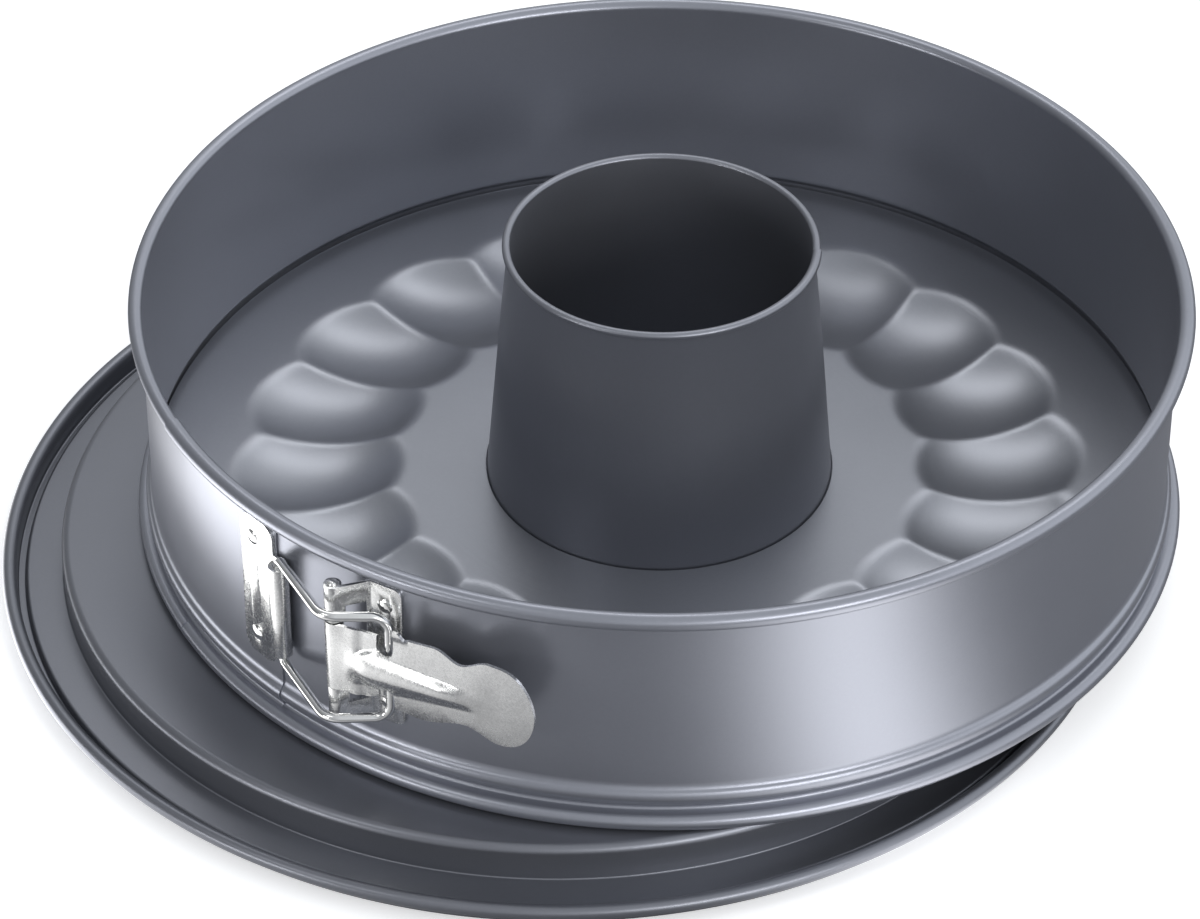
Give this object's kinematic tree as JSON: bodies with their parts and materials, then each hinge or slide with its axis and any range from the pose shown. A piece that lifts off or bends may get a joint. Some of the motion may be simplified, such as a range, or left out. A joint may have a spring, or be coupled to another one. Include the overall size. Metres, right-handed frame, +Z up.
{
  "type": "cake pan",
  "caption": "Springform ring-cake pan with a fluted tube base and a lever latch, standing off centre on its own loose flat base.",
  "frame": {"origin": "under the middle of the whole set's footprint, on the table", "axes": "+Z up, along the pan's axis; +X to the right and -Y towards the camera, as pictured"},
  "size_m": [0.3278, 0.3122, 0.0977],
  "materials": {
    "anthracite_coating": "satin non-stick coating",
    "plated_steel": "bright tin plate"
  },
  "bodies": {
    "base": {"flat_base": "anthracite_coating"},
    "pan": {"ring_band": "anthracite_coating", "fluted_base": "anthracite_coating", "centre_tube": "anthracite_coating", "hinge_plate": "plated_steel", "hinge_rivet_upper": "plated_steel", "hinge_rivet_lower": "plated_steel", "bracket": "plated_steel", "bracket_rivet_upper": "plated_steel", "bracket_rivet_lower": "plated_steel", "pivot_pin": "plated_steel"},
    "lever": {"lever": "plated_steel"},
    "bail": {"bail": "plated_steel"}
  },
  "joints": [
    {"name": "pan_lift", "type": "slide", "parent": "base", "child": "pan", "axis": [0, 0, 1], "range_m": [0, 0.12]},
    {"name": "lever_swing", "type": "hinge", "parent": "pan", "child": "lever", "pos_m": [-0.06524, -0.10998, 0.0548], "axis": [0, 0, -1], "range_deg": [0, 140]},
    {"name": "bail_swing", "type": "hinge", "parent": "pan", "child": "bail", "pos_m": [-0.08014, -0.09331, 0.0548], "axis": [0, 0, -1], "range_deg": [0, 57]}
  ],
  "couplings": [
    {"joint": "bail_swing", "follows": "lever_swing", "ratio": 0.4}
  ]
}
